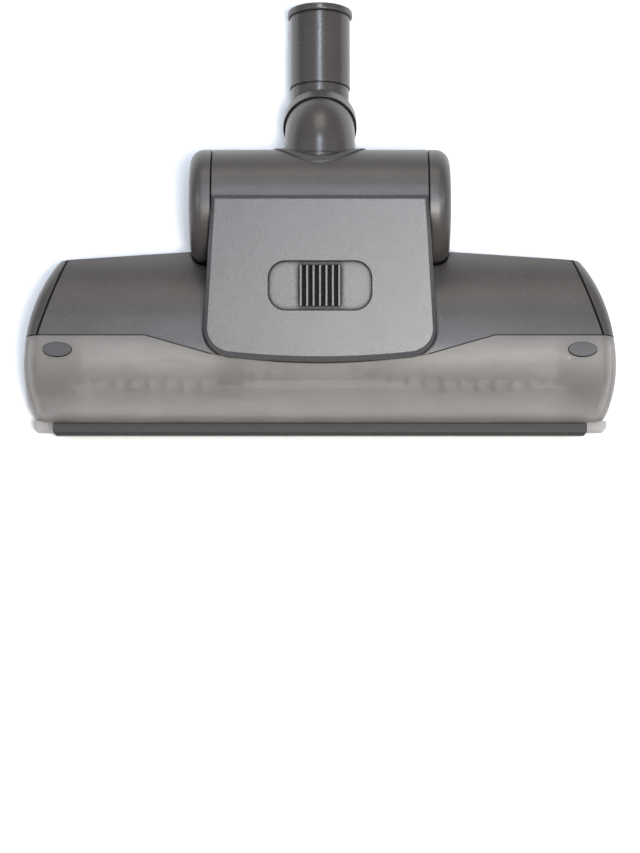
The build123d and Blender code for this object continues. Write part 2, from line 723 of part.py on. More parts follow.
def thin_strip():
    """Thin strip with small locating tabs, at the back of the sole's front edge."""
    y0 = FLAT_STRIP_REAR_Y + STRIP_GAP
    top = SOLE_Z - SEAM / 2
    strip = block(-LIP_BAR_HALF, LIP_BAR_HALF, y0, y0 + THIN_STRIP_W / 2, top - THIN_STRIP_T, top)
    pitch = 2 * LIP_BAR_HALF / THIN_STRIP_TABS
    for i in range(THIN_STRIP_TABS):
        x = (i + 0.5) * pitch - LIP_BAR_HALF
        strip += block(x - pitch / 8, x + pitch / 8, y0, y0 + THIN_STRIP_W, top - THIN_STRIP_T / 2, top)
    return strip


def bearing_block():
    """Right-hand end block that carries the brush shaft."""
    front = CHAMBER_FRONT_Y + SEAM
    rear = CHAMBER_REAR_Y - SEAM
    foot = block(BLOCK_INNER_X, BLOCK_OUTER_X, front, rear, SOLE_Z, BRUSH_Z)
    crown = rod_x(BLOCK_TOP_R, BLOCK_INNER_X, BLOCK_OUTER_X, BRUSH_Y, BRUSH_Z)
    return foot + crown - rod_x(BEARING_R + SEAM / 2, 0, HEAD_HALF + FREE, BRUSH_Y, BRUSH_Z)


def bearing():
    """Bush in the right-hand end block."""
    ring = rod_x(BEARING_R, BLOCK_INNER_X, BLOCK_OUTER_X, BRUSH_Y, BRUSH_Z)
    return ring - rod_x(SHAFT_R + PIN_GAP, 0, HEAD_HALF + FREE, BRUSH_Y, BRUSH_Z)


def brush_core():
    """Turned core with its end flanges, left clear where the belt pulley sits."""
    core = rod_x(CORE_R, -CORE_HALF, CORE_HALF, BRUSH_Y, BRUSH_Z)
    core += both_sides(rod_x(FLANGE_R, CORE_HALF, CORE_HALF + FLANGE_T, BRUSH_Y, BRUSH_Z))
    seat = PULLEY_W / 2 + SEAM
    core -= rod_x(CORE_R + CUT, BELT_X - seat, BELT_X + seat, BRUSH_Y, BRUSH_Z)
    core += rod_x(CORE_SPIGOT_R, BELT_X - seat, BELT_X + seat, BRUSH_Y, BRUSH_Z)
    return core - rod_x(SHAFT_R + SEAM / 2, -HEAD_HALF, HEAD_HALF, BRUSH_Y, BRUSH_Z)


def brush_pulley():
    """Flanged belt pulley on the brush."""
    x0 = BELT_X - PULLEY_W / 2
    x1 = BELT_X + PULLEY_W / 2
    groove = BELT_W / 2 + RUN_GAP
    pulley = rod_x(PULLEY_RIM_R, x0, x1, BRUSH_Y, BRUSH_Z)
    pulley -= rod_x(PULLEY_RIM_R + CUT, BELT_X - groove, BELT_X + groove, BRUSH_Y, BRUSH_Z)
    pulley += rod_x(PULLEY_R, x0, x1, BRUSH_Y, BRUSH_Z)
    return pulley - rod_x(CORE_SPIGOT_R + SEAM, x0, x1, BRUSH_Y, BRUSH_Z)


def bristle_tufts():
    """Tufts in V-shaped rows, each a slim six-sided bundle standing on the core."""
    tufts = []
    pitch = (TUFT_LAST_X - TUFT_FIRST_X) / (TUFTS_PER_HALF - 1)
    length = TUFT_TIP_R - CORE_R - SEAM
    clear = PULLEY_W / 2 + 2 * TUFT_R
    for row in range(TUFT_ROWS):
        for side in (-1, 1):
            for i in range(TUFTS_PER_HALF):
                x = side * (TUFT_FIRST_X + i * pitch)
                turn = TUFT_START + row * 360 / TUFT_ROWS + i * TUFT_TWIST / (TUFTS_PER_HALF - 1)
                if abs(x - BELT_X) < clear:
                    continue
                tuft = Pos(0, 0, CORE_R + SEAM) * extrude(RegularPolygon(TUFT_R, 6), length)
                tufts.append(Pos(x, BRUSH_Y, BRUSH_Z) * Rot(turn, 0, 0) * tuft)
    return Compound([t.solid() for t in tufts])


def brush_shaft():
    return rod_x(SHAFT_R, -SHAFT_HALF, SHAFT_HALF, BRUSH_Y, BRUSH_Z)


def belt_loop(extra):
    """Outline round pulley and pinion, at a distance extra from their running faces."""
    r0 = PULLEY_R + extra
    r1 = PINION_R + extra
    dy = TURBINE_Y - BRUSH_Y
    dz = AXIS_Z - BRUSH_Z
    span = math.hypot(dy, dz)
    along = math.atan2(dz, dy)
    lean = math.acos((r0 - r1) / span)
    up = along + lean
    down = along - lean
    a = (BRUSH_Y + r0 * math.cos(up), BRUSH_Z + r0 * math.sin(up))
    b = (TURBINE_Y + r1 * math.cos(up), AXIS_Z + r1 * math.sin(up))
    c = (TURBINE_Y + r1 * math.cos(down), AXIS_Z + r1 * math.sin(down))
    d = (BRUSH_Y + r0 * math.cos(down), BRUSH_Z + r0 * math.sin(down))
    tip = (TURBINE_Y + r1 * math.cos(along), AXIS_Z + r1 * math.sin(along))
    tail = (BRUSH_Y - r0 * math.cos(along), BRUSH_Z - r0 * math.sin(along))
    face = make_face([Line(a, b), ThreePointArc(b, tip, c), Line(c, d), ThreePointArc(d, tail, a)])
    return Pos(BELT_X, 0, 0) * extrude(Plane.YZ * face, BELT_W / 2, both=True)


def drive_belt():
    return belt_loop(RUN_GAP + BELT_T) - belt_loop(RUN_GAP)


def turbine_pinion():
    """Flanged pinion on the turbine shaft."""
    x0 = BELT_X - PINION_W / 2
    x1 = BELT_X + PINION_W / 2
    groove = BELT_W / 2 + RUN_GAP
    pinion = rod_x(PINION_RIM_R, x0, x1, TURBINE_Y, AXIS_Z)
    pinion -= rod_x(PINION_RIM_R + CUT, BELT_X - groove, BELT_X + groove, TURBINE_Y, AXIS_Z)
    pinion += rod_x(PINION_R, x0, x1, TURBINE_Y, AXIS_Z)
    return pinion - rod_x(TURBINE_SHAFT_R + SEAM / 2, x0 - CUT, x1 + CUT, TURBINE_Y, AXIS_Z)


def turbine_wheel():
    """Impeller with curved blades between a hub and a middle disc."""
    wheel = rod_x(TURBINE_HUB_R, -TURBINE_HALF, TURBINE_HALF, TURBINE_Y, AXIS_Z)
    wheel += rod_x(TURBINE_R, -BLADE_T, BLADE_T, TURBINE_Y, AXIS_Z)
    root = (TURBINE_HUB_R - CUT, 0)
    tip = (TURBINE_R - BLADE_SET_BACK, 0)
    arc = RadiusArc(root, tip, BLADE_CURVE_R)
    back = RadiusArc(tip, root, -(BLADE_CURVE_R + BLADE_T))
    blade = extrude(Plane.YZ * make_face([arc, back]), TURBINE_HALF - BLADE_T, both=True)
    for i in range(TURBINE_BLADES):
        wheel += Pos(0, TURBINE_Y, AXIS_Z) * Rot(i * 360 / TURBINE_BLADES, 0, 0) * blade
    return wheel - rod_x(TURBINE_SHAFT_R + SEAM / 2, -FREE, FREE, TURBINE_Y, AXIS_Z)


def turbine_shaft():
    x0 = BELT_X - PINION_W / 2
    x1 = BULKHEAD_X + BULKHEAD_T + WALL
    return rod_x(TURBINE_SHAFT_R, x0, x1, TURBINE_Y, AXIS_Z)


def bulkhead():
    """Right-hand wall that carries the turbine shaft."""
    disc = rod_x(BARREL_R - WALL - SEAM, BULKHEAD_X, BULKHEAD_X + BULKHEAD_T, 0, AXIS_Z)
    disc &= block(0, BARREL_HALF, -BARREL_R, BARREL_R, SOLE_Z + DOOR_T + PAD_FLOOR + SEAM, AXIS_Z + BARREL_R)
    disc -= wheel_pocket(REAR_WHEEL_X, REAR_WHEEL_Y, REAR_WHEEL_R, REAR_WHEEL_W, POCKET_WALL + SEAM)
    disc -= rod_z(SCREW_BOSS_R + SEAM, BARREL_SCREW_X, BARREL_SCREW_Y, 0, AXIS_Z)
    return disc - rod_x(BUSH_R + SEAM / 2, 0, BARREL_HALF, TURBINE_Y, AXIS_Z)


def shaft_bush():
    """Right-hand bush of the turbine shaft."""
    bush = rod_x(BUSH_R, BULKHEAD_X, BULKHEAD_X + BULKHEAD_T, TURBINE_Y, AXIS_Z)
    return bush - rod_x(TURBINE_SHAFT_R + PIN_GAP, 0, BARREL_HALF, TURBINE_Y, AXIS_Z)


def clean_out_door():
    """Door under the turbine, with three sunk pads and a slot for each latch tongue."""
    door = door_outline(0, SOLE_Z, SOLE_Z + DOOR_T)
    front = DOOR_FRONT_Y + PAD_FRONT_EDGE
    rear = DOOR_REAR_Y - PAD_REAR_EDGE
    top = SOLE_Z + PAD_DEPTH
    side_x = PAD_MID_HALF + PAD_GAP
    door -= block(-PAD_MID_HALF, PAD_MID_HALF, front, rear, SOLE_Z, top)
    door -= both_sides(block(side_x, side_x + PAD_SIDE_W, front, rear, SOLE_Z, top))
    return door - both_sides(latch_tongue(RUN_GAP))


def latch_tongue(extra):
    """Tongue of the right-hand latch, grown by extra for its slot in the door."""
    mid_y = (DOOR_FRONT_Y + LATCH_REAR_Y) / 2
    mid_z = SOLE_Z + DOOR_T / 2
    half_y = (LATCH_REAR_Y - DOOR_FRONT_Y) / 4 + extra
    half_z = LATCH_TONGUE_T / 2 + extra
    inner = LATCH_INNER_X - LATCH_TONGUE - extra
    return block(inner, LATCH_INNER_X + CUT, mid_y - half_y, mid_y + half_y, mid_z - half_z, mid_z + half_z)


def door_latch():
    """Right-hand sliding latch with a tongue into the door and a clip hole at its inner end."""
    latch = block(LATCH_INNER_X, LATCH_OUTER_X, DOOR_FRONT_Y, LATCH_REAR_Y, SOLE_Z, SOLE_Z + DOOR_T)
    latch += latch_tongue(0)
    inner = LATCH_INNER_X + LATCH_HOLE_EDGE
    mid = (DOOR_FRONT_Y + LATCH_REAR_Y) / 2
    half = LATCH_HOLE_W / 2
    latch -= block(inner, inner + LATCH_HOLE_L, mid - half, mid + half, SOLE_Z, SOLE_Z + DOOR_T)
    front = DOOR_FRONT_Y + LATCH_GROOVE_EDGE
    rear = LATCH_REAR_Y - LATCH_GROOVE_EDGE
    for i in range(LATCH_GROOVES):
        x = LATCH_OUTER_X - LATCH_GROOVE_EDGE - i * LATCH_GROOVE_PITCH
        latch -= block(x - LATCH_GROOVE_W, x, front, rear, SOLE_Z, SOLE_Z + PAD_DEPTH)
    return latch


def wheel(x, y, radius, width):
    """Right-hand wheel with bevelled tread edges."""
    tyre = rod_x(radius, x - width / 2, x + width / 2, y, radius)
    tyre = chamfer(tyre.edges().filter_by(GeomType.CIRCLE), TREAD_BEVEL)
    return tyre - rod_x(AXLE_R + PIN_GAP, x - width, x + width, y, radius)


def housing_screws():
    """Four pan-head screws, from below."""
    screws = []
    for x, y in screw_places():
        seat = screw_seat_z(y)
        head = rod_z(SCREW_HEAD_R, x, y, seat - SCREW_HEAD_T, seat)
        cross = Rectangle(SCREW_CROSS_L, SCREW_CROSS_W) + Rectangle(SCREW_CROSS_W, SCREW_CROSS_L)
        head -= Pos(x, y, seat - SCREW_HEAD_T) * extrude(cross, SCREW_CROSS_D)
        screws.append((head + rod_z(SCREW_R, x, y, seat, seat + SCREW_L)).solid())
    return Compound(screws)


def elbow_point(distance):
    """Point on the tilted swivel axis, at a distance from the elbow's corner."""
    angle = math.radians(ELBOW_ANGLE)
    return (0, ELBOW_Y + distance * math.cos(angle), AXIS_Z - distance * math.sin(angle))


def swivel_rod(radius, t0, t1):
    """Cylinder along the tilted swivel axis."""
    middle = elbow_point((t0 + t1) / 2)
    return Pos(*middle) * Rot(-90 - ELBOW_ANGLE, 0, 0) * Cylinder(radius, t1 - t0)


def pipe(points, bend, turn, radius):
    """Round bar in the middle plane: two straight runs and a bend that turns by an angle about X."""
    path = FilletPolyline(*points, radius=bend)
    arc = path.edges().filter_by(GeomType.CIRCLE)[0]
    start = Plane(origin=arc @ 0, z_dir=arc % 0)
    bar = revolve(start * Circle(radius), Axis(arc.arc_center, (1, 0, 0)), turn)
    for run in path.edges().filter_by(GeomType.LINE):
        bar += extrude(Plane(origin=run @ 0, z_dir=run % 0) * Circle(radius), run.length)
    return bar


COLLAR_T0 = ELBOW_BEND_R * math.tan(math.radians(ELBOW_ANGLE / 2)) + NECK_END + RUN_GAP
COLLAR_T1 = COLLAR_T0 + COLLAR_L
TUBE_T = TUBE_DROP / math.sin(math.radians(ELBOW_ANGLE))


def neck_elbow():
    """Neck that turns in the barrel and bends down to the tilted swivel."""
    inner = (0, NECK_SEAT_Y - RUN_GAP - NECK_SEAL_T - NECK_FLANGE_T, AXIS_Z)
    corner = (0, ELBOW_Y, AXIS_Z)
    end = elbow_point(COLLAR_T0 - RUN_GAP)
    tip = elbow_point(COLLAR_T1)
    neck = pipe([inner, corner, end], ELBOW_BEND_R, -ELBOW_ANGLE, NECK_R)
    neck += rod_y(NECK_FLANGE_R, inner[1], inner[1] + NECK_FLANGE_T, AXIS_Z)
    neck += rod_y(NECK_ROOT_R, inner[1], NECK_SEAT_Y + NECK_ROOT_L, AXIS_Z)
    neck += swivel_rod(SPIGOT_R, COLLAR_T0 - SPIGOT_ROOT, COLLAR_T1 - SPIGOT_GAP)
    return neck - pipe([inner, corner, tip], ELBOW_BEND_R, -ELBOW_ANGLE, NECK_BORE_R)


def wand_tube():
    """Tube with a collar on the tilted swivel, bent level, with a socket for the wand."""
    corner = elbow_point(TUBE_T)
    level = corner[2]
    socket_y = TUBE_END_Y - SOCKET_L
    start = elbow_point(COLLAR_T0 + CUT)
    tube = pipe([start, corner, (0, socket_y, level)], TUBE_BEND_R, ELBOW_ANGLE, TUBE_R)
    tube += swivel_rod(COLLAR_R, COLLAR_T0, COLLAR_T1)
    tube += rod_y(TUBE_END_R, socket_y - SOCKET_LAP, TUBE_END_Y, level)
    lip = rod_y(LIP_R, TUBE_END_Y - LIP_L, TUBE_END_Y, level)
    tube += fillet(lip.edges().filter_by(GeomType.CIRCLE), LIP_L / 4)
    tube -= swivel_rod(SPIGOT_R + RUN_GAP, COLLAR_T0 - CUT, COLLAR_T1 - SPIGOT_GAP / 2)
    tube -= pipe([start, corner, (0, socket_y + CUT, level)], TUBE_BEND_R, ELBOW_ANGLE, TUBE_R - TUBE_WALL)
    return tube - rod_y(SOCKET_R, socket_y, TUBE_END_Y + CUT, level)


def seal_ring():
    """Felt ring between the neck's flange and the socket's flat seat."""
    front = NECK_SEAT_Y - RUN_GAP
    ring = rod_y(NECK_FLANGE_R, front - NECK_SEAL_T + SEAM / 2, front, AXIS_Z)
    return ring - rod_y(NECK_ROOT_R + SEAM / 2, 0, BARREL_R, AXIS_Z)


def left_twin(piece):
    """Left-hand twin of a right-hand piece."""
    return mirror(piece, about=Plane.YZ)


PIECES = {
    "upper_shell": upper_shell(),
    "lower_shell": lower_shell(),
    "end_cap_right": end_cap(),
    "end_cap_left": left_twin(end_cap()),
    "front_window": front_window(),
    "top_cover": top_cover(),
    "air_slider": air_slider(),
    "window_button_right": window_button(),
    "window_button_left": left_twin(window_button()),
    "front_bumper": front_bumper(),
    "lip_bar": lip_bar(),
    "flat_strip": flat_strip(),
    "thin_strip": thin_strip(),
    "bearing_block_right": bearing_block(),
    "bearing_block_left": left_twin(bearing_block()),
    "brush_bearing_right": bearing(),
    "brush_bearing_left": left_twin(bearing()),
    "brush_core": brush_core(),
    "brush_pulley": brush_pulley(),
    "bristle_tufts": bristle_tufts(),
    "brush_shaft": brush_shaft(),
    "drive_belt": drive_belt(),
    "turbine_wheel": turbine_wheel(),
    "turbine_shaft": turbine_shaft(),
    "turbine_pinion": turbine_pinion(),
    "bulkhead_right": bulkhead(),
    "bulkhead_left": left_twin(bulkhead()),
    "shaft_bush_right": shaft_bush(),
    "shaft_bush_left": left_twin(shaft_bush()),
    "clean_out_door": clean_out_door(),
    "door_latch_right": door_latch(),
    "door_latch_left": left_twin(door_latch()),
    "housing_screws": housing_screws(),
    "neck_elbow": neck_elbow(),
    "neck_seal": seal_ring(),
    "wand_tube": wand_tube(),
}
for name, x, y, radius, width in wheel_places():
    PIECES[name + "_wheel_right"] = wheel(x, y, radius, width)
    PIECES[name + "_wheel_left"] = left_twin(wheel(x, y, radius, width))
    PIECES[name + "_axle_right"] = axle(x, y, radius, 0)
    PIECES[name + "_axle_left"] = left_twin(axle(x, y, radius, 0))

# Origin under the middle of the whole head, on the floor
ORIGIN_Y = (HOOD_FRONT_Y - SEAM - BUMPER_T + TUBE_END_Y) / 2

os.makedirs("parts", exist_ok=True)
for name, piece in PIECES.items():
    export_step(Pos(0, -ORIGIN_Y, 0) * piece, "parts/" + name + ".step")
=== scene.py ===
import json
import math
import random
import bmesh
import bpy
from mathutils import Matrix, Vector

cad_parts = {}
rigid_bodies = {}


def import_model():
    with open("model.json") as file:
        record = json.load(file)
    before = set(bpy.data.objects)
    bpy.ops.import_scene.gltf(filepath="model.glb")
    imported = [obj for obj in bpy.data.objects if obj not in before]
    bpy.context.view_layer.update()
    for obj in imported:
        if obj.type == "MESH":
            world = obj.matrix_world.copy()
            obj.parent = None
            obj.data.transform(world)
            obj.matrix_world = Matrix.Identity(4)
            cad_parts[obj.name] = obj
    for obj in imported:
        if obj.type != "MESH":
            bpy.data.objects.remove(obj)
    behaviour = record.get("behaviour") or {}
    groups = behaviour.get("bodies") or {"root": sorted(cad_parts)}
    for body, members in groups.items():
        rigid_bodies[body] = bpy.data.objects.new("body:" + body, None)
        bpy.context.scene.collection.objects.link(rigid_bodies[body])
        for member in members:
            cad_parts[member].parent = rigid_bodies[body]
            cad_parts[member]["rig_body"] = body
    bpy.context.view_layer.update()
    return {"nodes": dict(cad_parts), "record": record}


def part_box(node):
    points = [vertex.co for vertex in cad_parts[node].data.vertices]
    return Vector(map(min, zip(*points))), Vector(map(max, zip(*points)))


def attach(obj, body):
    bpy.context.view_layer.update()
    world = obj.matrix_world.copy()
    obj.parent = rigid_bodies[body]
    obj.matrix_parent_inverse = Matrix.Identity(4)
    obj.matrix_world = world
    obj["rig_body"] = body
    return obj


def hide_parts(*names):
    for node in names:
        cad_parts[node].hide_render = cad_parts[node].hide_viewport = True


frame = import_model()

MM = 0.001
NODES = frame["nodes"]
SLOT_OF = {part["node"]: part["material_slot"] for part in frame["record"]["subparts"]}

# Edge rounding of the moulded pieces, angles in degrees
EDGE_WIDTH = 0.55 * MM
EDGE_SEGMENTS = 2
EDGE_ANGLE = 28.0
MERGE = 0.002 * MM
FLAT_ANGLE = 0.3

# Pieces with many small faces keep their own edges
OWN_EDGES = {"upper_shell", "lower_shell", "top_cover", "turbine_wheel", "neck_elbow", "clean_out_door",
             "window_button_left", "window_button_right", "air_slider"}

# Camera of the upper view, in metres and degrees, with lens and sensor in millimetres
CAMERA_Y = -0.34265
CAMERA_Z = 1.400
CAMERA_PITCH = 9.1
CAMERA_LENS = 103.0
SENSOR = 36.0

# Soft lamps: place, size in metres, power in watts and colour
COOL = (0.78, 0.87, 1.0)
SKY = (0.64, 0.76, 1.0)
WARM = (1.0, 0.97, 0.91)
LAMPS = {
    "front_key": ((0.26, -0.50, 1.60), 0.40, 27.0, WARM),
    "rear_sky": ((0.10, 0.04, 1.80), 0.34, 6.9, SKY),
    "tube_light": ((-0.04, 0.62, 1.60), 0.10, 6.5, COOL),
    "back": ((0.0, 1.50, 1.10), 0.8, 7.0, WARM),
    "left": ((-0.95, 0.00, 1.00), 0.25, 4.4, COOL),
    "right": ((0.95, -0.05, 0.95), 0.16, 4.4, COOL),
}
SURROUND = 0.10
FLOOR_HALF = 6.0

# Painted shade in the gaps between pieces, darkening colour and dimming gloss: how far gaps are looked for,
# the openness that counts as a closed gap and as open air, and what is left of colour and gloss in a closed
# gap
GAP_REACH = 2.0 * MM
# Longer reach for deep slots, which paints shade over their floors
DEEP_REACH = 3.4 * MM
GAP_CLOSED = 0.60
GAP_OPEN = 0.96
GAP_SHADE = 0.08
GAP_GLOSS = 0.02
OPEN_GLOSS = 0.5
SOFT_EDGE = 0.5 * MM

# Seams of the hood on the right, as points (X, Y) in millimetres seen from above; the left ones
# mirror them. Painted shade along a seam is full up to its core and fades out at its rim, as shares of its
# half width.
CAP_SEAM = ((143.0, -19.6), (160.0, -74.4))
WINDOW_SEAM = ((99.0, -74.4), (168.0, -74.4))
WINDOW_SLOPE = ((62.0, -84.9), (99.0, -74.4))
SEAM_HALF = 0.6 * MM
SEAM_CORE = 0.6
SEAM_RIM = 1.4

# Window: opacity face-on and edge-on, and the turn of the face between the two
WINDOW_ALPHA = (0.53, 0.92)
WINDOW_TURN = (0.25, 0.9)

# Dark end flanges of the roller
FLANGE_T = 5.0 * MM
FLANGE_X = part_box("brush_core")[1][0] - FLANGE_T
FLANGE_STEP = 0.1 * MM
FLANGE_SHADE = 0.12

# Bristles of one tuft
SEED = 7
HAIRS = 34
HAIR_R = 0.12 * MM
HAIR_SIDES = 3
TIP_TAPER = 0.8
SHORTEST_HAIR = 0.84
TUFT_SPREAD = 1.2 * MM
TIP_SPREAD = 2.4 * MM
TIP_STRAY = 0.3 * MM


class Nodes:
    """Short calls for building one material's node tree."""

    def __init__(self, name):
        self.material = bpy.data.materials.new(name)
        self.material.use_nodes = True
        self.tree = self.material.node_tree
        self.shader = self.tree.nodes["Principled BSDF"]
        self.where = self.add("ShaderNodeTexCoord").outputs["Object"]

    def add(self, kind, **values):
        node = self.tree.nodes.new(kind)
        for key, value in values.items():
            setattr(node, key, value)
        return node

    def link(self, source, target):
        self.tree.links.new(source, target)

    def set(self, **values):
        for key, value in values.items():
            self.shader.inputs[key.replace("_", " ")].default_value = value

    def use(self, **sources):
        for key, source in sources.items():
            self.link(source, self.shader.inputs[key.replace("_", " ")])

    def noise(self, scale, detail=2.0, rough=0.5, stretch=None):
        """Noise in metres: scale is cycles a metre."""
        node = self.add("ShaderNodeTexNoise")
        node.inputs["Scale"].default_value = scale
        node.inputs["Detail"].default_value = detail
        node.inputs["Roughness"].default_value = rough
        source = self.where
        if stretch:
            mapping = self.add("ShaderNodeMapping")
            mapping.inputs["Scale"].default_value = stretch
            self.link(self.where, mapping.inputs["Vector"])
            source = mapping.outputs["Vector"]
        self.link(source, node.inputs["Vector"])
        return node.outputs["Fac"]

    def ramp(self, source, stops):
        """Colour ramp: stops are (place, colour)."""
        node = self.add("ShaderNodeValToRGB")
        band = node.color_ramp
        while len(band.elements) < len(stops):
            band.elements.new(0.5)
        for element, (place, colour) in zip(band.elements, stops):
            element.position = place
            element.color = (*colour, 1.0)
        self.link(source, node.inputs["Fac"])
        return node.outputs["Color"]

    def span(self, source, low, high, start=0.3, stop=0.7):
        """Maps a value from start and stop to low and high; the defaults suit a noise."""
        node = self.add("ShaderNodeMapRange")
        node.inputs["From Min"].default_value = start
        node.inputs["From Max"].default_value = stop
        node.inputs["To Min"].default_value = low
        node.inputs["To Max"].default_value = high
        self.link(source, node.inputs["Value"])
        return node.outputs["Result"]

    def bump(self, height, strength, depth, under=None):
        """Normal bumped by a height, on top of another normal if one is given."""
        node = self.add("ShaderNodeBump")
        node.inputs["Strength"].default_value = strength
        node.inputs["Distance"].default_value = depth
        self.link(height, node.inputs["Height"])
        if under:
            self.link(under, node.inputs["Normal"])
        return node.outputs["Normal"]

    def tint(self, colour, factor):
        """Colour scaled by a grey factor."""
        node = self.add("ShaderNodeMix", data_type="RGBA", blend_type="MULTIPLY")
        node.inputs["Factor"].default_value = 1.0
        self.link(colour, node.inputs["A"])
        self.link(factor, node.inputs["B"])
        return node.outputs["Result"]

    def calc(self, kind, first, second=0.0):
        """Math node of two values, each a socket or a number."""
        node = self.add("ShaderNodeMath", operation=kind)
        for socket, value in zip(node.inputs, (first, second)):
            if isinstance(value, (int, float)):
                socket.default_value = value
            else:
                self.link(value, socket)
        return node.outputs["Value"]

    def plan(self):
        """Distance from the middle plane, and Y."""
        split = self.add("ShaderNodeSeparateXYZ")
        self.link(self.where, split.inputs["Vector"])
        return self.calc("ABSOLUTE", split.outputs["X"]), split.outputs["Y"]

    def beside(self, points):
        """Nought along a straight seam between two plan points, on both sides of the middle, else one."""
        (x0, y0), (x1, y1) = [(x * MM, y * MM) for x, y in points]
        length = math.hypot(x1 - x0, y1 - y0)
        step_x = (x1 - x0) / length
        step_y = (y1 - y0) / length
        from_middle, y = self.plan()
        x = self.calc("SUBTRACT", from_middle, x0)
        y = self.calc("SUBTRACT", y, y0)
        run = self.calc("ADD", self.calc("MULTIPLY", x, step_x), self.calc("MULTIPLY", y, step_y))
        off = self.calc("SUBTRACT", self.calc("MULTIPLY", x, step_y), self.calc("MULTIPLY", y, step_x))
        from_half = self.calc("ABSOLUTE", self.calc("SUBTRACT", run, length / 2))
        past_end = self.calc("SUBTRACT", from_half, length / 2)
        away = self.calc("MAXIMUM", self.calc("ABSOLUTE", off), past_end)
        return self.span(away, 0.0, 1.0, SEAM_HALF * SEAM_CORE, SEAM_HALF * SEAM_RIM)

    def soft_edges(self):
        """Normal that rounds hard edges."""
        node = self.add("ShaderNodeBevel", samples=4)
        node.inputs["Radius"].default_value = SOFT_EDGE
        return node.outputs["Normal"]

    def open_air(self, reach):
        """One on open faces, nought in narrow gaps, where shade is painted."""
        node = self.add("ShaderNodeAmbientOcclusion", samples=8)
        node.inputs["Distance"].default_value = reach
        return self.span(node.outputs["AO"], 0.0, 1.0, GAP_CLOSED, GAP_OPEN)


def shade(colour, factor):
    return tuple(min(1.0, channel * factor) for channel in colour)


def grained_plastic(name, colour, rough, grain=1150.0, depth=0.16 * MM, speckle=0.32, reach=GAP_REACH,
                    seams=()):
    """Spark-eroded plastic: fine grain, pale specks, a slow change of tone, and painted shade darkening gaps
    and seams.
    """
    n = Nodes(name)
    fine = n.noise(grain, detail=4.0, rough=0.7)
    slow = n.noise(28.0, detail=2.0)
    base = n.ramp(slow, [(0.3, shade(colour, 0.9)), (0.7, shade(colour, 1.1))])
    specks = n.ramp(fine, [(0.5, (0, 0, 0)), (0.74, shade(colour, 1 + 6 * speckle))])
    mix = n.add("ShaderNodeMix", data_type="RGBA", blend_type="LIGHTEN")
    mix.inputs["Factor"].default_value = 0.8
    n.link(base, mix.inputs["A"])
    n.link(specks, mix.inputs["B"])
    # Painted shade: colour and gloss fall towards dark in narrow gaps found by ambient occlusion
    free = n.open_air(reach)
    # Painted shade along the given seam lines
    for points in seams:
        free = n.calc("MINIMUM", free, n.beside(points))
    n.use(Base_Color=n.tint(mix.outputs["Result"], n.span(free, GAP_SHADE, 1.0, 0.0, 1.0)))
    n.use(Specular_IOR_Level=n.span(free, GAP_GLOSS, OPEN_GLOSS, 0.0, 1.0))
    n.use(Roughness=n.span(fine, rough - 0.06, rough + 0.08))
    n.use(Normal=n.bump(fine, 0.6, depth, n.soft_edges()))
    return n.material


def soft_rubber(name, colour, rough):
    """Matt rubber with a little dust."""
    n = Nodes(name)
    dust = n.noise(420.0, detail=4.0, rough=0.65)
    n.use(Base_Color=n.ramp(dust, [(0.4, colour), (0.75, shade(colour, 2.2))]))
    n.use(Roughness=n.span(dust, rough - 0.05, rough + 0.1), Normal=n.bump(dust, 0.3, 0.04 * MM))
    return n.material


def drawn_steel(name):
    """Bright steel with drawing lines along X."""
    n = Nodes(name)
    lines = n.noise(900.0, detail=3.0, stretch=(0.06, 3.0, 3.0))
    n.use(Base_Color=n.ramp(lines, [(0.3, (0.52, 0.52, 0.53)), (0.7, (0.74, 0.74, 0.75))]))
    n.use(Roughness=n.span(lines, 0.2, 0.36), Normal=n.bump(lines, 0.15, 0.01 * MM))
    n.set(Metallic=1.0)
    return n.material


def black_steel(name):
    """Black oxide of the screws."""
    n = Nodes(name)
    oxide = n.noise(1800.0, detail=3.0)
    n.use(Base_Color=n.ramp(oxide, [(0.3, (0.012, 0.012, 0.013)), (0.7, (0.04, 0.039, 0.038))]))
    n.use(Roughness=n.span(oxide, 0.45, 0.6), Normal=n.bump(oxide, 0.3, 0.02 * MM))
    n.set(Metallic=0.8)
    return n.material


def sintered_bronze(name):
    """Porous bronze of the bushes."""
    n = Nodes(name)
    pores = n.noise(2600.0, detail=2.0)
    n.use(Base_Color=n.ramp(pores, [(0.35, (0.3, 0.2, 0.09)), (0.6, (0.52, 0.38, 0.19))]))
    n.use(Roughness=n.span(pores, 0.35, 0.5), Normal=n.bump(pores, 0.4, 0.02 * MM))
    n.set(Metallic=1.0)
    return n.material


def felt(name, colour):
    """Grey felt with fibres mostly along X."""
    n = Nodes(name)
    fibres = n.noise(1500.0, detail=6.0, rough=0.75, stretch=(0.35, 1.0, 1.0))
    n.use(Base_Color=n.ramp(fibres, [(0.3, shade(colour, 0.6)), (0.7, shade(colour, 1.7))]))
    n.use(Normal=n.bump(fibres, 0.8, 0.2 * MM))
    n.set(Roughness=0.95, Sheen_Weight=0.4, Sheen_Roughness=0.5)
    return n.material


def smoked_window(name):
    """Smoked see-through plastic with a fine grain and handling haze, denser where it is seen edge-on."""
    n = Nodes(name)
    haze = n.noise(36.0, detail=3.0)
    skin = n.noise(1100.0, detail=4.0, rough=0.7)
    n.use(Base_Color=n.ramp(haze, [(0.3, (0.36, 0.33, 0.31)), (0.7, (0.44, 0.405, 0.38))]))
    n.use(Roughness=n.span(haze, 0.44, 0.52), Normal=n.bump(skin, 0.6, 0.12 * MM))
    edge_on = n.add("ShaderNodeLayerWeight")
    edge_on.inputs["Blend"].default_value = 0.5
    n.use(Alpha=n.span(edge_on.outputs["Facing"], *WINDOW_ALPHA, *WINDOW_TURN))
    n.set(IOR=1.49, Transmission_Weight=0.55)
    return n.material


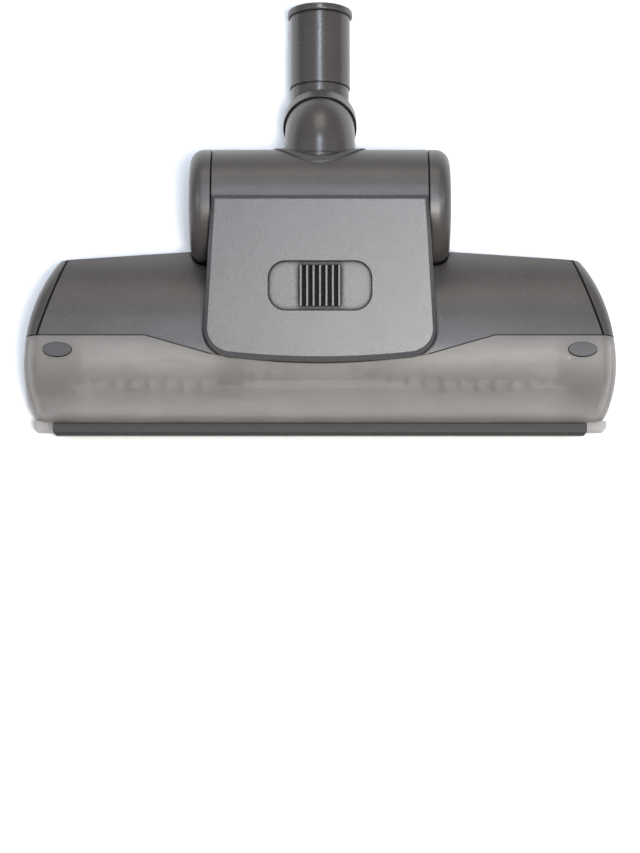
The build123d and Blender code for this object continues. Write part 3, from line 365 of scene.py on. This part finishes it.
def dusty_core(name):
    """Moulded roller core, scuffed pale by carpet fibres, with dark end flanges."""
    n = Nodes(name)
    scuff = n.noise(260.0, detail=6.0, rough=0.7, stretch=(0.25, 1.0, 1.0))
    fine = n.noise(1300.0, detail=3.0)
    pale = n.ramp(scuff, [(0.34, (0.10, 0.102, 0.105)),
                          (0.5, (0.24, 0.243, 0.248)),
                          (0.68, (0.46, 0.465, 0.47))])
    from_middle, _ = n.plan()
    inside = n.span(from_middle, 1.0, FLANGE_SHADE, FLANGE_X, FLANGE_X + FLANGE_STEP)
    n.use(Base_Color=n.tint(pale, inside))
    n.use(Roughness=n.span(scuff, 0.35, 0.6), Normal=n.bump(fine, 0.35, 0.05 * MM))
    return n.material


def bristle_nylon(name):
    """Black nylon hairs."""
    n = Nodes(name)
    tone = n.noise(700.0, detail=1.0)
    n.use(Base_Color=n.ramp(tone, [(0.3, (0.008, 0.008, 0.009)), (0.7, (0.03, 0.029, 0.029))]))
    n.set(Roughness=0.42)
    return n.material


# Finish of each material slot
BODY_GREY = (0.052, 0.0465, 0.0435)
COVER_GREY = (0.048, 0.047, 0.049)
FINISH = {
    "body_plastic": grained_plastic("grained_body", BODY_GREY, 0.36),
    # Deep reach: painted shade on the floors of the trim's slots
    "trim_plastic": grained_plastic("grained_trim", (0.03, 0.029, 0.031), 0.52, reach=DEEP_REACH),
    "latch_plastic": grained_plastic("grained_latch", (0.115, 0.115, 0.135), 0.42),
    "wheel_plastic": grained_plastic("grained_wheel", (0.055, 0.055, 0.058), 0.38, depth=0.02 * MM),
    "drive_plastic": grained_plastic("satin_drive", (0.022, 0.022, 0.023), 0.32, depth=0.015 * MM),
    "window_plastic": smoked_window("smoked_window"),
    "rubber": soft_rubber("soft_rubber", (0.014, 0.0135, 0.0135), 0.6),
    "felt": felt("grey_felt", (0.045, 0.044, 0.044)),
    "core_plastic": dusty_core("dusty_core"),
    "bristle": bristle_nylon("bristle_nylon"),
    "steel": drawn_steel("drawn_steel"),
    "bush_metal": sintered_bronze("sintered_bronze"),
}

# Finishes of single pieces that differ from their slot's
SMOOTH_BODY = grained_plastic("smooth_body", BODY_GREY, 0.27, grain=1500.0, depth=0.05 * MM, speckle=0.2)
# The hood gets painted shade along its cap and window seams
HOOD_BODY = grained_plastic("hood_body", BODY_GREY, 0.36, seams=(CAP_SEAM, WINDOW_SEAM, WINDOW_SLOPE))
COVER_GRAIN = {"grain": 1600.0, "depth": 0.18 * MM, "speckle": 0.45}
COVER_BODY = grained_plastic("cover_body", COVER_GREY, 0.28, **COVER_GRAIN)
# Deep reach: painted shade on the slot floors and around the opening of the slider
SLIDER_BODY = grained_plastic("slider_body", COVER_GREY, 0.28, **COVER_GRAIN, reach=DEEP_REACH)
BLOCK_BODY = grained_plastic("block_grey", (0.062, 0.063, 0.073), 0.36)
OWN_FINISH = {
    "wand_tube": SMOOTH_BODY,
    "neck_elbow": SMOOTH_BODY,
    "top_cover": COVER_BODY,
    "air_slider": SLIDER_BODY,
    "upper_shell": HOOD_BODY,
    "end_cap_right": HOOD_BODY,
    "end_cap_left": HOOD_BODY,
    "bearing_block_right": BLOCK_BODY,
    "bearing_block_left": BLOCK_BODY,
    "housing_screws": black_steel("black_steel"),
}


def new_piece(name, mesh, node):
    """Object that stands for a CAD node, on the node's body and with its finish."""
    piece = bpy.data.objects.new(name, mesh)
    bpy.context.scene.collection.objects.link(piece)
    mesh.materials.clear()
    mesh.materials.append(OWN_FINISH.get(node) or FINISH[SLOT_OF[node]])
    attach(piece, NODES[node]["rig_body"])
    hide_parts(node)
    return piece


def welded_copy(node, flatten):
    """Smooth-shaded copy of a CAD node's mesh with its seams welded and, if asked, its flat faces joined."""
    mesh = NODES[node].data.copy()
    bm = bmesh.new()
    bm.from_mesh(mesh)
    bmesh.ops.remove_doubles(bm, verts=bm.verts, dist=MERGE)
    if flatten:
        bmesh.ops.dissolve_limit(bm, angle_limit=math.radians(FLAT_ANGLE), verts=bm.verts, edges=bm.edges)
    bm.to_mesh(mesh)
    bm.free()
    if mesh.has_custom_normals:
        mesh.attributes.remove(mesh.attributes["custom_normal"])
    mesh.shade_smooth()
    return mesh


def rounded_copy(node):
    """Copy of a CAD node with its hard edges rounded and its curved faces smooth."""
    raw = bpy.data.objects.new(node + "_raw", welded_copy(node, flatten=True))
    bpy.context.scene.collection.objects.link(raw)
    bevel = raw.modifiers.new("edges", "BEVEL")
    bevel.width = EDGE_WIDTH
    bevel.segments = EDGE_SEGMENTS
    bevel.limit_method = "ANGLE"
    bevel.angle_limit = math.radians(EDGE_ANGLE)
    bevel.harden_normals = True
    bevel.use_clamp_overlap = True
    depsgraph = bpy.context.evaluated_depsgraph_get()
    mesh = bpy.data.meshes.new_from_object(raw.evaluated_get(depsgraph))
    bpy.data.objects.remove(raw)
    new_piece(node + "_moulded", mesh, node)


def smooth_copy(node):
    """Copy of a CAD node with its own edges, smooth over its curved faces."""
    mesh = welded_copy(node, flatten=False)
    mesh.set_sharp_from_angle(angle=math.radians(EDGE_ANGLE))
    new_piece(node + "_moulded", mesh, node)


def islands_of(mesh):
    """Points of each separate solid of a mesh."""
    bm = bmesh.new()
    bm.from_mesh(mesh)
    bmesh.ops.remove_doubles(bm, verts=bm.verts, dist=MERGE)
    islands = []
    seen = set()
    for first in bm.verts:
        if first in seen:
            continue
        seen.add(first)
        stack = [first]
        island = []
        while stack:
            vert = stack.pop()
            island.append(vert.co.copy())
            for edge in vert.link_edges:
                other = edge.other_vert(vert)
                if other not in seen:
                    seen.add(other)
                    stack.append(other)
        islands.append(island)
    bm.free()
    return islands


def off_axis(point, axis):
    """Way from the roller's axis straight out to a point."""
    return Vector((0, point.y - axis.y, point.z - axis.z))


def bristles(node):
    """Bundles of single hairs in place of the solid tufts, splayed towards their tips."""
    rng = random.Random(SEED)
    low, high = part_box("brush_shaft")
    axis = Vector((0, (low[1] + high[1]) / 2, (low[2] + high[2]) / 2))
    side = Vector((1, 0, 0))
    bm = bmesh.new()
    for island in islands_of(NODES[node].data):
        middle = sum(island, Vector()) / len(island)
        along = off_axis(middle, axis).normalized()
        cross = along.cross(side)
        reach = [(point - middle).dot(along) for point in island]
        root = middle + along * min(reach)
        length = max(reach) - min(reach)
        limit = (root + along * length - middle).length + off_axis(middle, axis).length
        for _ in range(HAIRS):
            angle = rng.uniform(0, math.tau)
            spread = math.sqrt(rng.random())
            out = side * math.cos(angle) + cross * math.sin(angle)
            start = root + out * (spread * TUFT_SPREAD)
            tip = root + along * (length * rng.uniform(SHORTEST_HAIR, 1.0)) + out * (spread * TIP_SPREAD)
            tip += Vector((rng.uniform(-1, 1), rng.uniform(-1, 1), rng.uniform(-1, 1))) * TIP_STRAY
            far = off_axis(tip, axis).length
            if far > limit:
                tip = axis + Vector((tip.x, 0, 0)) + off_axis(tip, axis) * (limit / far)
            add_hair(bm, start, tip)
    mesh = bpy.data.meshes.new("bristle_hairs")
    bm.to_mesh(mesh)
    bm.free()
    new_piece("bristle_hairs", mesh, node)


def add_hair(bm, start, tip):
    """One slim hair with a cut tip."""
    along = (tip - start).normalized()
    side = along.orthogonal().normalized()
    cross = along.cross(side)
    rings = []
    for centre, radius in ((start, HAIR_R), (tip, HAIR_R * TIP_TAPER)):
        ring = []
        for i in range(HAIR_SIDES):
            turn = math.tau * i / HAIR_SIDES
            ring.append(bm.verts.new(centre + (side * math.cos(turn) + cross * math.sin(turn)) * radius))
        rings.append(ring)
    foot, end = rings
    for i in range(HAIR_SIDES):
        j = (i + 1) % HAIR_SIDES
        bm.faces.new((foot[i], foot[j], end[j], end[i]))
    bm.faces.new(foot[::-1])
    bm.faces.new(end)


def studio():
    """Pale floor, white surround and soft lamps."""
    mesh = bpy.data.meshes.new("floor")
    corners = [(-FLOOR_HALF, -FLOOR_HALF, 0), (FLOOR_HALF, -FLOOR_HALF, 0),
               (FLOOR_HALF, FLOOR_HALF, 0), (-FLOOR_HALF, FLOOR_HALF, 0)]
    mesh.from_pydata(corners, [], [(0, 1, 2, 3)])
    floor = bpy.data.objects.new("floor", mesh)
    bpy.context.scene.collection.objects.link(floor)
    n = Nodes("floor_paper")
    tooth = n.noise(300.0, detail=2.0)
    n.use(Base_Color=n.ramp(tooth, [(0.3, (0.93, 0.93, 0.93)), (0.7, (0.95, 0.95, 0.95))]))
    n.set(Roughness=0.9)
    mesh.materials.append(n.material)
    world = bpy.data.worlds.new("surround")
    world.use_nodes = True
    background = world.node_tree.nodes["Background"]
    background.inputs["Color"].default_value = (1.0, 1.0, 1.0, 1.0)
    background.inputs["Strength"].default_value = SURROUND
    bpy.context.scene.world = world
    for name, (place, size, power, colour) in LAMPS.items():
        light = bpy.data.lights.new(name, "AREA")
        light.size = size
        light.energy = power
        light.color = colour
        lamp = bpy.data.objects.new(name, light)
        lamp.location = place
        lamp.rotation_euler = (-Vector(place)).to_track_quat("-Z", "Y").to_euler()
        bpy.context.scene.collection.objects.link(lamp)


def camera():
    """Camera at the photograph's angle, in front of the head, looking down and a little to the back."""
    data = bpy.data.cameras.new("camera")
    data.lens = CAMERA_LENS
    data.sensor_width = SENSOR
    eye = bpy.data.objects.new("camera", data)
    eye.location = (0, CAMERA_Y, CAMERA_Z)
    eye.rotation_euler = (math.radians(CAMERA_PITCH), 0, 0)
    bpy.context.scene.collection.objects.link(eye)
    bpy.context.scene.camera = eye


for node in NODES:
    if node == "bristle_tufts":
        bristles(node)
    elif node == "front_window":
        NODES[node].data.materials.clear()
        NODES[node].data.materials.append(FINISH[SLOT_OF[node]])
    elif node in OWN_EDGES:
        smooth_copy(node)
    else:
        rounded_copy(node)

studio()
camera()
bpy.context.scene.view_settings.view_transform = "Standard"
